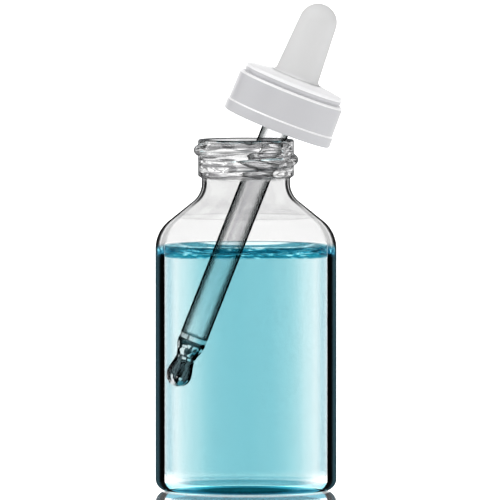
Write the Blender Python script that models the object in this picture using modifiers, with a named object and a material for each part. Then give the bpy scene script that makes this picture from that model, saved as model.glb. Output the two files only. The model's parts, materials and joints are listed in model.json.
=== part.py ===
"""Serum bottle: a clear bottle with a screw neck, its serum, and the dropper that leans in the neck.

The origin is the centre of the flat base, +Z is up, and lengths are in metres. The dropper is made
upright about its own axis, and an empty at the centre of its ball tip leans it: the ball lies
against the bottle's wall, and the tube lies against the rounded inner edge of the lip.
"""

import math

import bmesh
import bpy
from mathutils import Vector

MM = 0.001

# Clearances
SEAT_GAP = 0.3 * MM
THREAD_CLEARANCE = 0.15 * MM
CUT_OVERRUN = 3.0 * MM
MERGE_DISTANCE = 0.01 * MM

# Glass bottle: body, base and shoulder
BODY_RADIUS = 20.0 * MM
BODY_WALL = 2.0 * MM
BASE_THICKNESS = 1.8 * MM
HEEL_RADIUS = 2.65 * MM
INNER_HEEL_RADIUS = 2.2 * MM
SHOULDER_FOOT_HEIGHT = 53.5 * MM
SHOULDER_SLOPE = 51.3
SHOULDER_BEND = 7.9 * MM
NECK_BEND = 5.3 * MM

# Glass bottle: neck, screw finish and lip
NECK_RADIUS = 9.75 * MM
NECK_WALL = 1.65 * MM
NECK_LENGTH = 0.85 * MM
FINISH_RADIUS = 10.6 * MM
FINISH_HEIGHT = 8.8 * MM
FINISH_CHAMFER = 0.9 * MM
LIP_WALL = 1.5 * MM
LIP_OUTER_ROUND = 0.5 * MM
LIP_FLAT = 0.1 * MM

# Neck thread: angles run anticlockwise from +X, seen from above
THREAD_PITCH = 4.2 * MM
NECK_BEAD_RADIUS = 0.97 * MM
NECK_THREAD_BELOW_LIP = 1.15 * MM
NECK_THREAD_START = -118.7
NECK_THREAD_SWEEP = 408.0

# Serum: its level, and how it climbs the glass
SERUM_BELOW_SHOULDER = 0.4 * MM
MENISCUS_RISE = 1.3 * MM
MENISCUS_WIDTH = 2.4 * MM

# How the dropper leans: its ball below the lip, its cap above it, and its turn away from +X
TIP_BELOW_LIP = 52.1 * MM
CAP_ABOVE_LIP = 1.0 * MM
LEAN_TURN = -6.0

# Glass pipette
TUBE_RADIUS = 3.1 * MM
TUBE_WALL = 1.0 * MM
TUBE_IN_BULB = 8.0 * MM
TUBE_END_ROUND = 0.3 * MM
BALL_RADIUS = 2.8 * MM
WAIST_RADIUS = 2.18 * MM
BALL_TO_WAIST = 3.8 * MM
WAIST_TO_TUBE = 3.6 * MM
TIP_BORE_RADIUS = 0.6 * MM
BORE_ABOVE_WAIST = 3.2 * MM

# Screw cap
SKIRT_WALL = 0.75 * MM
SKIRT_DRAFT = 0.15 * MM
SKIRT_HEIGHT = 9.35 * MM
SKIRT_EDGE = 0.35 * MM
BAND_HEIGHT = 2.3 * MM
BAND_STEP = 0.1 * MM
RING_INSET = 0.75 * MM
RING_HEIGHT = 1.9 * MM
RING_ROUND = 0.6 * MM
GROOVE_DEPTH = 0.35 * MM
GROOVE_HEIGHT = 0.45 * MM
CROWN_RISE = 0.75 * MM
CAP_TOP_THICKNESS = 0.9 * MM
LEAD_IN = 0.25 * MM

# Cap thread: it starts above the skirt's edge and stands in from the skirt's inner wall
CAP_BEAD_RADIUS = 0.6 * MM
CAP_BEAD_STANDOFF = 0.15 * MM
CAP_THREAD_ABOVE_EDGE = 1.9 * MM
CAP_THREAD_START = 60.0
CAP_THREAD_SWEEP = 396.0

# Rubber bulb
BULB_BASE_RADIUS = 4.95 * MM
BULB_TOP_RADIUS = 4.22 * MM
BULB_HEIGHT = 17.2 * MM
BULB_WALL = 1.25 * MM
BULB_FOOT_FLARE = 0.3 * MM
BULB_FOOT_HEIGHT = 0.9 * MM
FLANGE_INSET = 0.7 * MM
FLANGE_THICKNESS = 1.2 * MM
FLANGE_ROUND = 0.3 * MM

# Facets: steps round a full turn, along each bend, and the angle between a thread's points
BODY_STEPS = 48
CAP_STEPS = 48
BULB_STEPS = 36
TUBE_STEPS = 28
BEND_STEPS = 4
DOME_STEPS = 6
BALL_STEPS = 6
DRAW_STEPS = 6
EDGE_STEPS = 2
THREAD_STEP = 12.0
THREAD_RESOLUTION = 2

# A thread's ends: the angle they fade over, their size, and how far they sink, as shares of the bead
THREAD_FADE = 36.0
THREAD_END_SHARE = 0.3
THREAD_SINK_SHARE = 0.6

# Worked out from the sizes above
BODY_BORE_RADIUS = BODY_RADIUS - BODY_WALL
NECK_BORE_RADIUS = NECK_RADIUS - NECK_WALL
LIP_BORE_RADIUS = FINISH_RADIUS - LIP_WALL
LIP_INNER_ROUND = LIP_WALL - LIP_OUTER_ROUND - LIP_FLAT
SERUM_LEVEL = SHOULDER_FOOT_HEIGHT - SERUM_BELOW_SHOULDER
TUBE_BORE_RADIUS = TUBE_RADIUS - TUBE_WALL
CAP_BORE_RADIUS = FINISH_RADIUS + NECK_BEAD_RADIUS + THREAD_CLEARANCE
SKIRT_RADIUS = CAP_BORE_RADIUS + SKIRT_WALL
SKIRT_TOP_RADIUS = SKIRT_RADIUS - BAND_STEP - SKIRT_DRAFT
RING_RADIUS = SKIRT_TOP_RADIUS - RING_INSET
RING_TOP = SKIRT_HEIGHT + RING_HEIGHT
CROWN_TOP = RING_TOP + CROWN_RISE
CAP_CEILING = RING_TOP - CAP_TOP_THICKNESS
CAP_HOLE_RADIUS = BULB_BASE_RADIUS + SEAT_GAP
FLANGE_TOP = CAP_CEILING - SEAT_GAP
FLANGE_UNDERSIDE = FLANGE_TOP - FLANGE_THICKNESS
FLANGE_RADIUS = FINISH_RADIUS - FLANGE_INSET
FLANGE_RECESS_RADIUS = FLANGE_RADIUS + SEAT_GAP
TUBE_TOP = FLANGE_UNDERSIDE + TUBE_IN_BULB


def arc(centre, radius, start, end, steps):
    """Points of an arc as (radius, height) pairs; an angle of 0 points outwards and 90 points up."""
    points = []
    for step in range(steps + 1):
        angle = math.radians(start + (end - start) * step / steps)
        points.append((centre[0] + radius * math.cos(angle), centre[1] + radius * math.sin(angle)))
    return points


def blend(start, end, steps):
    """Points of a smooth S from one (radius, height) to another; it leaves both straight up."""
    points = []
    for step in range(steps + 1):
        share = step / steps
        swell = (1 - math.cos(math.pi * share)) / 2
        points.append((start[0] + (end[0] - start[0]) * swell, start[1] + (end[1] - start[1]) * share))
    return points


def shoulder(body_radius, neck_radius, body_bend, neck_bend):
    """Points of the shoulder's S curve, from the foot of the neck down to the top of the body's wall."""
    slope = math.radians(SHOULDER_SLOPE)
    bends = body_bend + neck_bend
    straight = (body_radius - neck_radius - bends * (1 - math.cos(slope))) / math.sin(slope)
    top = SHOULDER_FOOT_HEIGHT + bends * math.sin(slope) + straight * math.cos(slope)
    neck_arc = arc((neck_radius + neck_bend, top), neck_bend, 180, 180 + SHOULDER_SLOPE, BEND_STEPS)
    body_centre = (body_radius - body_bend, SHOULDER_FOOT_HEIGHT)
    return neck_arc + arc(body_centre, body_bend, SHOULDER_SLOPE, 0, BEND_STEPS)


def outer_shoulder():
    return shoulder(BODY_RADIUS, NECK_RADIUS, SHOULDER_BEND, NECK_BEND)


def inner_shoulder():
    return shoulder(
        BODY_BORE_RADIUS, NECK_BORE_RADIUS, SHOULDER_BEND - BODY_WALL, NECK_BEND + NECK_WALL
    )


def finish_foot():
    """Height at which the screw finish steps out from the plain neck."""
    return outer_shoulder()[0][1] + NECK_LENGTH


def lip_height():
    return finish_foot() + FINISH_HEIGHT


def lip_edge_centre():
    """Centre of the lip's rounded inner edge."""
    return LIP_BORE_RADIUS + LIP_INNER_ROUND, lip_height() - LIP_INNER_ROUND


def ball_centre():
    """Centre of the ball against the wall, in the plane in which the dropper leans."""
    return Vector((-(BODY_BORE_RADIUS - BALL_RADIUS - SEAT_GAP), lip_height() - TIP_BELOW_LIP))


def lean_angle():
    """Lean from upright at which the tube just clears the lip's rounded inner edge."""
    to_edge = Vector(lip_edge_centre()) - ball_centre()
    distance = LIP_INNER_ROUND + SEAT_GAP + TUBE_RADIUS
    return math.atan2(to_edge.x, to_edge.y) - math.asin(distance / to_edge.length)


def tip_to_skirt():
    """Length along the dropper from the ball's centre to the edge of the cap's skirt."""
    along = Vector((math.sin(lean_angle()), math.cos(lean_angle())))
    to_lip = Vector((FINISH_RADIUS, lip_height())) - ball_centre()
    return to_lip.dot(along) + CAP_ABOVE_LIP


def clear_scene():
    for obj in list(bpy.data.objects):
        bpy.data.objects.remove(obj)


def collection(name):
    made = bpy.data.collections.new(name)
    bpy.context.scene.collection.children.link(made)
    return made


def paint(obj, name, colour, roughness, metallic=0.0):
    """Give an object a material of its own."""
    made = bpy.data.materials.new(name)
    made.use_nodes = True
    shader = made.node_tree.nodes["Principled BSDF"]
    shader.inputs["Base Color"].default_value = (*colour, 1.0)
    shader.inputs["Roughness"].default_value = roughness
    shader.inputs["Metallic"].default_value = metallic
    made.diffuse_color = (*colour, 1.0)
    obj.data.materials.append(made)


def turned(name, outline, steps, target):
    """A turned piece: a closed outline of (radius, height) pairs spun about Z.

    The outline runs down the outer side. A side of it that lies on the axis is left out.
    """
    mesh = bpy.data.meshes.new(name)
    sides = [(end, (end + 1) % len(outline)) for end in range(len(outline))]
    sides = [side for side in sides if outline[side[0]][0] > 0 or outline[side[1]][0] > 0]
    mesh.from_pydata([(radius, 0, height) for radius, height in outline], sides, [])
    obj = bpy.data.objects.new(name, mesh)
    target.objects.link(obj)
    screw = obj.modifiers.new("turn", "SCREW")
    screw.steps = screw.render_steps = steps
    screw.use_merge_vertices = True
    screw.merge_threshold = MERGE_DISTANCE
    screw.use_smooth_shade = True
    return obj


def combine(obj, other, operation):
    """Join another object to this one, or cut it out, and leave the other as a guide."""
    modifier = obj.modifiers.new(other.name, "BOOLEAN")
    modifier.operation = operation
    modifier.object = other
    other.hide_render = True
    other.display_type = "WIRE"


def closed_mesh(curve, target):
    """Turn a curve into a mesh with its caps welded on, in the same place, and remove the curve."""
    bpy.context.view_layer.update()
    evaluated = curve.evaluated_get(bpy.context.evaluated_depsgraph_get())
    mesh = bpy.data.meshes.new_from_object(evaluated)
    shape = bmesh.new()
    shape.from_mesh(mesh)
    bmesh.ops.remove_doubles(shape, verts=shape.verts, dist=MERGE_DISTANCE)
    bmesh.ops.recalc_face_normals(shape, faces=shape.faces)
    shape.to_mesh(mesh)
    shape.free()
    mesh.shade_smooth()
    obj = bpy.data.objects.new(curve.name, mesh)
    target.objects.link(obj)
    obj.matrix_world = curve.matrix_world
    bpy.data.objects.remove(curve)
    return obj


def thread_bead(name, radius, bead, start_angle, start_height, sweep, outwards, target):
    """A right-handed helical bead on a round wall; its ends shrink and sink back into that wall."""
    data = bpy.data.curves.new(name, "CURVE")
    data.dimensions = "3D"
    data.bevel_depth = bead
    data.bevel_resolution = THREAD_RESOLUTION
    data.use_fill_caps = True
    spline = data.splines.new("POLY")
    last = round(sweep / THREAD_STEP)
    spline.points.add(last)
    for step, point in enumerate(spline.points):
        turn = sweep * step / last
        share = min(1, turn / THREAD_FADE, (sweep - turn) / THREAD_FADE)
        swell = math.sin(math.pi / 2 * share)
        reach = radius - outwards * bead * THREAD_SINK_SHARE * (1 - swell)
        angle = math.radians(start_angle + turn)
        height = start_height + THREAD_PITCH * turn / 360
        point.co = (reach * math.cos(angle), reach * math.sin(angle), height, 1)
        point.radius = THREAD_END_SHARE + (1 - THREAD_END_SHARE) * swell
    curve = bpy.data.objects.new(name, data)
    target.objects.link(curve)
    return closed_mesh(curve, target)


def bottle_outline():
    """The glass: its outer wall from the lip to the base's centre, then its bore back up to the lip."""
    lip = lip_height()
    foot = finish_foot()
    rim = (FINISH_RADIUS - LIP_OUTER_ROUND, lip - LIP_OUTER_ROUND)
    outline = arc(rim, LIP_OUTER_ROUND, 90, 0, EDGE_STEPS)
    outline += [(FINISH_RADIUS, foot + FINISH_CHAMFER), (NECK_RADIUS, foot)]
    outline += outer_shoulder()
    outline += arc((BODY_RADIUS - HEEL_RADIUS, HEEL_RADIUS), HEEL_RADIUS, 0, -90, BEND_STEPS)
    outline += [(0, 0), (0, BASE_THICKNESS)]
    inner_heel = (BODY_BORE_RADIUS - INNER_HEEL_RADIUS, BASE_THICKNESS + INNER_HEEL_RADIUS)
    outline += arc(inner_heel, INNER_HEEL_RADIUS, -90, 0, BEND_STEPS)
    outline += reversed(inner_shoulder())
    outline += arc(lip_edge_centre(), LIP_INNER_ROUND, 180, 90, EDGE_STEPS + 1)
    return outline


def glass_bottle(parts, cutters):
    bottle = turned("glass_bottle", bottle_outline(), BODY_STEPS, parts)
    rise = THREAD_PITCH * NECK_THREAD_SWEEP / 360
    start_height = lip_height() - NECK_THREAD_BELOW_LIP - rise
    bead = thread_bead(
        "neck_thread", FINISH_RADIUS, NECK_BEAD_RADIUS, NECK_THREAD_START, start_height,
        NECK_THREAD_SWEEP, 1, cutters,
    )
    combine(bottle, bead, "UNION")
    paint(bottle, "clear_glass", (0.86, 0.93, 0.94), 0.02)


def serum_outline():
    """The liquid: its surface climbs a little at the glass, and its sides keep the seat gap."""
    side = BODY_BORE_RADIUS - SEAT_GAP
    floor = BASE_THICKNESS + SEAT_GAP
    heel_radius = INNER_HEEL_RADIUS - SEAT_GAP
    outline = [(0, SERUM_LEVEL)]
    for step in range(BEND_STEPS + 1):
        share = step / BEND_STEPS
        radius = side - MENISCUS_WIDTH * (1 - share)
        outline.append((radius, SERUM_LEVEL + MENISCUS_RISE * share ** 2))
    outline += arc((side - heel_radius, floor + heel_radius), heel_radius, 0, -90, BEND_STEPS)
    outline.append((0, floor))
    return outline


def serum(parts, cutters, dropper):
    """The serum, with a channel in which the pipette stands and along which it is drawn out."""
    liquid = turned("serum", serum_outline(), BODY_STEPS, parts)
    ball = BALL_RADIUS + SEAT_GAP
    tube = max(BALL_RADIUS, TUBE_RADIUS) + SEAT_GAP
    top = (SERUM_LEVEL + CUT_OVERRUN - ball_centre().y) / math.cos(lean_angle()) + tube
    outline = [(0, top), (tube, top), (tube, BALL_TO_WAIST + WAIST_TO_TUBE), (ball, BALL_TO_WAIST)]
    outline += arc((0, 0), ball, 0, -90, BALL_STEPS)
    channel = turned("pipette_channel", outline, TUBE_STEPS, cutters)
    channel.parent = dropper
    combine(liquid, channel, "DIFFERENCE")
    paint(liquid, "turquoise_serum", (0.20, 0.62, 0.72), 0.05)


def pipette_outline():
    """The pipette: tube, drawn waist and ball down the outer side, then the bore back up."""
    top = tip_to_skirt() + TUBE_TOP
    tube_foot = BALL_TO_WAIST + WAIST_TO_TUBE
    end_round = (TUBE_RADIUS - TUBE_END_ROUND, top - TUBE_END_ROUND)
    outline = arc(end_round, TUBE_END_ROUND, 90, 0, EDGE_STEPS)
    outline += blend((TUBE_RADIUS, tube_foot), (WAIST_RADIUS, BALL_TO_WAIST), DRAW_STEPS)[:-1]
    outline += blend((WAIST_RADIUS, BALL_TO_WAIST), (BALL_RADIUS, 0), DRAW_STEPS)[:-1]
    ball_end = math.degrees(math.acos(TIP_BORE_RADIUS / BALL_RADIUS))
    outline += arc((0, 0), BALL_RADIUS, 0, -ball_end, BALL_STEPS)
    cup = TUBE_BORE_RADIUS - TIP_BORE_RADIUS
    cup_centre = (TIP_BORE_RADIUS, BALL_TO_WAIST + BORE_ABOVE_WAIST + cup)
    outline += arc(cup_centre, cup, -90, 0, BEND_STEPS)
    outline.append((TUBE_BORE_RADIUS, top))
    return outline


def glass_pipette(parts, dropper):
    pipette = turned("glass_pipette", pipette_outline(), TUBE_STEPS, parts)
    pipette.parent = dropper
    paint(pipette, "pipette_glass", (0.72, 0.78, 0.80), 0.03)


def skirt_side_radius(height):
    """Outer radius of the cap's drafted skirt above its band."""
    return SKIRT_RADIUS - BAND_STEP - SKIRT_DRAFT * height / SKIRT_HEIGHT


def cap_outline():
    """The cap: crown, bead ring, skirt and band down the outer side, then the bore back up."""
    ring_centre = (RING_RADIUS - RING_ROUND, RING_TOP - RING_ROUND)
    groove_top = SKIRT_HEIGHT + GROOVE_HEIGHT
    groove_radius = RING_RADIUS - GROOVE_DEPTH
    outline = [(CAP_HOLE_RADIUS, CROWN_TOP)]
    outline += arc(ring_centre, RING_ROUND, 90, 0, EDGE_STEPS + 1)
    outline += [(RING_RADIUS, groove_top + GROOVE_DEPTH), (groove_radius, groove_top)]
    outline.append((groove_radius, SKIRT_HEIGHT))
    skirt_top = (SKIRT_TOP_RADIUS - SKIRT_EDGE, SKIRT_HEIGHT - SKIRT_EDGE)
    outline += arc(skirt_top, SKIRT_EDGE, 90, 0, EDGE_STEPS)
    outline.append((skirt_side_radius(BAND_HEIGHT), BAND_HEIGHT + BAND_STEP))
    outline.append((SKIRT_RADIUS, BAND_HEIGHT))
    outline += arc((SKIRT_RADIUS - SKIRT_EDGE, SKIRT_EDGE), SKIRT_EDGE, 0, -90, EDGE_STEPS)
    outline += [(CAP_BORE_RADIUS + LEAD_IN, 0), (CAP_BORE_RADIUS, LEAD_IN)]
    outline += [(CAP_BORE_RADIUS, FLANGE_UNDERSIDE), (FLANGE_RECESS_RADIUS, FLANGE_UNDERSIDE)]
    outline += [(FLANGE_RECESS_RADIUS, CAP_CEILING), (CAP_HOLE_RADIUS, CAP_CEILING)]
    return outline


def screw_cap(parts, cutters, dropper):
    cap = turned("screw_cap", cap_outline(), CAP_STEPS, parts)
    bead = thread_bead(
        "cap_thread", CAP_BORE_RADIUS - CAP_BEAD_STANDOFF, CAP_BEAD_RADIUS, CAP_THREAD_START,
        CAP_THREAD_ABOVE_EDGE, CAP_THREAD_SWEEP, -1, cutters,
    )
    for obj in (cap, bead):
        obj.location.z = tip_to_skirt()
        obj.parent = dropper
    combine(cap, bead, "UNION")
    paint(cap, "white_polypropylene", (0.80, 0.80, 0.82), 0.35)


def bulb_outline():
    """The bulb: dome, tapered side, foot and flange down the outer side, then its cavity back up."""
    dome_centre = CROWN_TOP + BULB_HEIGHT - BULB_TOP_RADIUS
    foot = CROWN_TOP + SEAT_GAP
    foot_radius = CAP_HOLE_RADIUS + BULB_FOOT_FLARE
    bore = TUBE_RADIUS + SEAT_GAP
    outline = arc((0, dome_centre), BULB_TOP_RADIUS, 90, 0, DOME_STEPS)
    outline += [(BULB_BASE_RADIUS, foot + BULB_FOOT_HEIGHT), (foot_radius, foot)]
    outline += [(BULB_BASE_RADIUS, foot), (BULB_BASE_RADIUS, FLANGE_TOP)]
    rim = FLANGE_RADIUS - FLANGE_ROUND
    outline += arc((rim, FLANGE_TOP - FLANGE_ROUND), FLANGE_ROUND, 90, 0, EDGE_STEPS)
    outline += arc((rim, FLANGE_UNDERSIDE + FLANGE_ROUND), FLANGE_ROUND, 0, -90, EDGE_STEPS)
    outline += [(bore, FLANGE_UNDERSIDE), (bore, TUBE_TOP)]
    outline += arc((0, dome_centre), BULB_TOP_RADIUS - BULB_WALL, 0, 90, DOME_STEPS)
    return outline


def rubber_bulb(parts, dropper):
    bulb = turned("rubber_bulb", bulb_outline(), BULB_STEPS, parts)
    bulb.location.z = tip_to_skirt()
    bulb.parent = dropper
    paint(bulb, "white_rubber", (0.86, 0.86, 0.85), 0.55)


def dropper_axis(guides):
    """An empty at the ball's centre, leaned and turned so that its Z axis is the dropper's axis."""
    empty = bpy.data.objects.new("dropper_axis", None)
    guides.objects.link(empty)
    turn = math.radians(LEAN_TURN)
    centre = ball_centre()
    empty.location = (centre.x * math.cos(turn), centre.x * math.sin(turn), centre.y)
    empty.rotation_euler = (0, lean_angle(), turn)
    return empty


def main():
    clear_scene()
    parts = collection("serum_bottle")
    cutters = collection("cutters")
    dropper = dropper_axis(cutters)
    glass_bottle(parts, cutters)
    serum(parts, cutters, dropper)
    glass_pipette(parts, dropper)
    screw_cap(parts, cutters, dropper)
    rubber_bulb(parts, dropper)


main()
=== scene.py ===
"""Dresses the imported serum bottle: finer glass, liquid, plastic and rubber round the CAD frame.

Every piece is a turned form. The bottle and its serum stand on the origin. The dropper's pieces are
turned upright, with their zero at the edge of the cap's skirt, and leaned onto the joint's axis.
"""

import json
import math
from functools import partial

import bmesh
import bpy
from bpy.props import FloatProperty, FloatVectorProperty, PointerProperty
from mathutils import Euler, Matrix, Vector


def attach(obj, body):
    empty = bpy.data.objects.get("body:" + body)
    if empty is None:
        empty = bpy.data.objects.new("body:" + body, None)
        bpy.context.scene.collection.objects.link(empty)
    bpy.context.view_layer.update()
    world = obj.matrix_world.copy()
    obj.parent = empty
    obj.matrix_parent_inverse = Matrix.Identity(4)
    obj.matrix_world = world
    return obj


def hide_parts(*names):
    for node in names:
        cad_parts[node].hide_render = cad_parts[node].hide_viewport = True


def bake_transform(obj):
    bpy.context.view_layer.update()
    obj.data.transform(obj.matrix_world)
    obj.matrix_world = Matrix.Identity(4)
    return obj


bl_info = {
    "name": "Serum bottle",
    "version": (1, 0, 0),
    "blender": (4, 5, 0),
    "location": "View3D > Sidebar > Serum bottle",
    "description": "Builds a glass dropper bottle, its serum and its dropper around a packed frame",
    "category": "Object",
}

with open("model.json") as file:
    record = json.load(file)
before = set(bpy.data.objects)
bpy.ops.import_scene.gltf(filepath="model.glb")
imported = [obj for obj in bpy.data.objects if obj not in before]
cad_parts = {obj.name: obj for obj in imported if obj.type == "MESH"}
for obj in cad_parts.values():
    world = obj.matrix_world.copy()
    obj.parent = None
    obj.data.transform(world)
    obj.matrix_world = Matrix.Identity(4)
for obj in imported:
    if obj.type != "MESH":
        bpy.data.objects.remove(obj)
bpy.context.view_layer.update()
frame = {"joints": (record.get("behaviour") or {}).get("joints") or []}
JOINTS = {joint["name"]: joint for joint in frame["joints"]}
MM = 0.001

# Facets: steps round a full turn and along each bend, and rows up a wall that carries a thread
BODY_STEPS = 256
CAP_STEPS = 192
BULB_STEPS = 144
TUBE_STEPS = 128
BEND_STEPS = 20
ROUND_STEPS = 8
THREAD_ROWS = 72

# Turns over which a thread may run, and how full its round top is: 1 is a parabola
THREAD_TURNS = 2
THREAD_FULLNESS = 0.8

# Angles in degrees from which an edge of the cap and of the bulb stays sharp
CAP_SHARP = 50
BULB_SHARP = 60

# Nodes and settings that the trees use again and again
MATH = "Math"
RANGE = "MapRange"
BLEND = "Mix"
NOISE = "TexNoise"
MAPPING = "Mapping"
CLEAR = "BsdfTransparent"
GLOSS = "BsdfAnisotropic"
OUTPUT = "OutputMaterial"
PLUS = {"operation": "ADD"}
MINUS = {"operation": "SUBTRACT"}
TIMES = {"operation": "MULTIPLY"}
OVER = {"operation": "DIVIDE"}
LARGER = {"operation": "MAXIMUM"}
UNSIGNED = {"operation": "ABSOLUTE"}
SMOOTH = {"interpolation_type": "SMOOTHSTEP"}
TINT = {"data_type": "RGBA", "out": 2}
WHITE = (1, 1, 1)

# Spacing of each pattern's features in mm
GLASS_CLOUD = 9.0909
FOLD_SHADE = 9.0909
MOULD_WAVE = 8.3333
SERUM_STREAK = 7.6923
CAP_CLOUD = 6.25
RIPPLE = 1.7857

# The same for patterns that are under 0.2 mm apart on the real thing: drawn as coarse as they
# need to show
DRAWN_STREAK = 1.42857
MELTED_FLECK = 0.90909
DRAWN_FLECK = 0.66667
POWDER_GRAIN = 0.55556
ETCHED_GRAIN = 0.38462

# How many times closer together the features lie along X, Y and Z
WAVES_PACKED = (1, 1, 4)
FOLD_SHADES_PACKED = (1, 1, 14)
RIPPLES_PACKED = (1, 0.3, 4)
STREAKS_PACKED = (1, 1, 0.06)

# How far the draw stretches the patterns of the pipette's tube and of its melted tip
DRAWN_STRETCH = 25
MELTED_STRETCH = 2.5

# The fine dark line round the shoulder, in mm under the finish, and how much light the serum takes
# up
SHOULDER_LINE = 8.35
SERUM_STRENGTH = 49.5

# Brightness of the white horizon, which the floor mirrors behind the glass, and of the rest of
# the studio; and the most that the glass mirrors
BACKDROP = 1.8
SURROUND = 1.1
MOST_MIRRORED = 0.10

# Painted highlight rings of the worked tip: middle, half width and softness in mm, how far noise
# breaks them, and whether it does so along the draw
TIP_LIGHTS = (
    (8.70, 0.40, 0.25, 0.20, False),
    (6.75, 0.28, 0.25, 0.40, False),
    (5.50, 0.75, 0.40, 0.51, False),
    (3.95, 0.18, 0.15, 0.43, True),
    (-1.15, 0.65, 0.30, 0.52, True),
    (-2.50, 0.55, 0.20, 0.40, False),
)


def linear(code):
    """A colour's linear red, green and blue from its sRGB hex value."""
    channels = [int(code[start:start + 2], 16) / 255 for start in (0, 2, 4)]
    return tuple(c / 12.92 if c <= 0.04045 else ((c + 0.055) / 1.055) ** 2.4 for c in channels)


def length(description, millimetres):
    return FloatProperty(
        description=description, default=millimetres * MM, precision=5, unit="LENGTH"
    )


def angle(description, degrees):
    return FloatProperty(
        description=description, default=math.radians(degrees), unit="ROTATION"
    )


def colour(description, code):
    return FloatVectorProperty(
        description=description, default=linear(code), size=3, min=0, max=1, subtype="COLOR"
    )


def labelled(group):
    """Labels each property of a group by its own name."""
    for name, prop in group.__annotations__.items():
        prop.keywords["name"] = name.replace("_", " ").capitalize()
    return group


@labelled
class BottleSizes(bpy.types.PropertyGroup):
    """Sizes of the moulded glass bottle."""

    body_radius: length("Outside of the round body", 20.0)
    body_wall: length("Thickness of the body's wall", 2.0)
    base: length("Thickness of the glass under the liquid", 1.8)
    heel: length("Rounding between the body and the base", 2.65)
    inner_heel: length("Rounding at the foot of the inside", 2.2)
    shoulder_foot: length("Height at which the body starts to bend in", 53.5)
    shoulder_slope: angle("Steepest slope of the shoulder from upright", 51.3)
    shoulder_bend: length("Radius of the bend over the body", 7.9)
    neck_bend: length("Radius of the bend under the neck", 5.3)
    neck_radius: length("Outside of the plain neck", 9.75)
    neck_wall: length("Thickness of the plain neck", 1.65)
    neck_length: length("Plain neck under the screw finish", 0.85)
    finish_radius: length("Outside of the screw finish", 10.6)
    finish_height: length("Screw finish from its foot to the lip", 8.8)
    finish_foot: length("Height of the step at the foot of the finish", 0.9)
    lip_wall: length("Thickness of the finish at the lip", 1.5)
    lip_outer_round: length("Rounding outside the lip", 0.5)
    lip_inner_round: length("Rounding inside the lip", 0.9)
    thread_pitch: length("Rise of the thread in one turn", 4.2)
    thread_bead: length("How far the thread stands out", 0.97)
    thread_half_width: length("Half of the bead's width at its foot", 1.25)
    thread_below_lip: length("Top end of the thread under the lip", 1.15)
    thread_start: angle("Where the lower end lies, from +X", -118.7)
    thread_sweep: angle("Turn from the lower end to the upper one", 408.0)
    thread_fade: angle("Turn over which each end runs out", 15.0)


@labelled
class SerumSizes(bpy.types.PropertyGroup):
    """Sizes of the serum."""

    below_shoulder: length("Surface under the foot of the shoulder", 0.7)
    meniscus_rise: length("How far it climbs the glass", 1.6)
    meniscus_width: length("How far the climb reaches in", 3.0)
    film: length("Clearance to the glass, which keeps faces apart", 0.08)


@labelled
class DropperSizes(bpy.types.PropertyGroup):
    """Sizes of the dropper, whose zero is the edge of the cap's skirt."""

    ball_below_skirt: length("Centre of the ball under the skirt's edge", 58.829)
    tube_radius: length("Outside of the pipette's tube", 3.1)
    tube_wall_shade: length("Thickness of the tube's glass", 1.0)
    tube_top: length("End of the tube inside the bulb", 16.85)
    tube_end_round: length("Fire-polished rounding of the tube's end", 0.45)
    ball_radius: length("Radius of the ball tip", 2.8)
    waist_radius: length("Radius of the drawn waist", 2.18)
    ball_to_waist: length("Ball's centre to the waist", 3.8)
    waist_to_tube: length("Waist to the full tube", 3.6)
    tip_bore: length("Radius of the bore in the tip", 0.6)
    bore_above_waist: length("Waist to the end of the wide bore", 3.2)
    cap_bore: length("Inside of the skirt", 11.72)
    skirt_wall: length("Thickness of the skirt", 0.75)
    skirt_draft: length("How far the skirt draws in over its height", 0.15)
    skirt_height: length("Height of the skirt", 9.35)
    skirt_edge: length("Rounding of the skirt's lower edge", 0.35)
    skirt_top_edge: length("Rounding of the skirt's upper edge", 0.55)
    band_height: length("Height of the band at the skirt's foot", 2.3)
    band_step: length("How far the band stands out", 0.1)
    band_chamfer: length("How far the step is drawn in over it", 0.12)
    ring_inset: length("Bead ring inside the top of the skirt", 0.75)
    ring_height: length("Height of the bead ring", 1.9)
    ring_round: length("Rounding of the bead ring", 0.6)
    groove_depth: length("Depth of the groove under the ring", 0.22)
    groove_height: length("Height of the groove under the ring", 0.3)
    crown_rise: length("Rise from the ring to the bulb", 0.75)
    cap_top: length("Thickness of the cap's top", 0.9)
    cap_hole: length("Radius of the hole for the bulb", 5.25)
    cap_bead: length("How far the cap's thread stands in", 0.45)
    cap_bead_half_width: length("Half of its width", 0.75)
    cap_thread_foot: length("Start of the thread over the edge", 1.9)
    cap_thread_start: angle("Where the lower end lies", 60.0)
    cap_thread_sweep: angle("Turn from end to end", 396.0)
    seat_gap: length("Clearance at the seats", 0.3)
    bulb_base: length("Radius of the bulb at its foot", 4.95)
    bulb_top: length("Radius of the bulb's dome", 4.22)
    bulb_height: length("Bulb over the cap's top", 17.16)
    bulb_wall: length("Thickness of the rubber", 1.25)
    bulb_flare: length("Fillet at the bulb's foot", 0.9)
    flange_radius: length("Flange between the cap and the lip", 9.9)
    flange_thickness: length("Thickness of the flange", 1.2)


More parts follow.
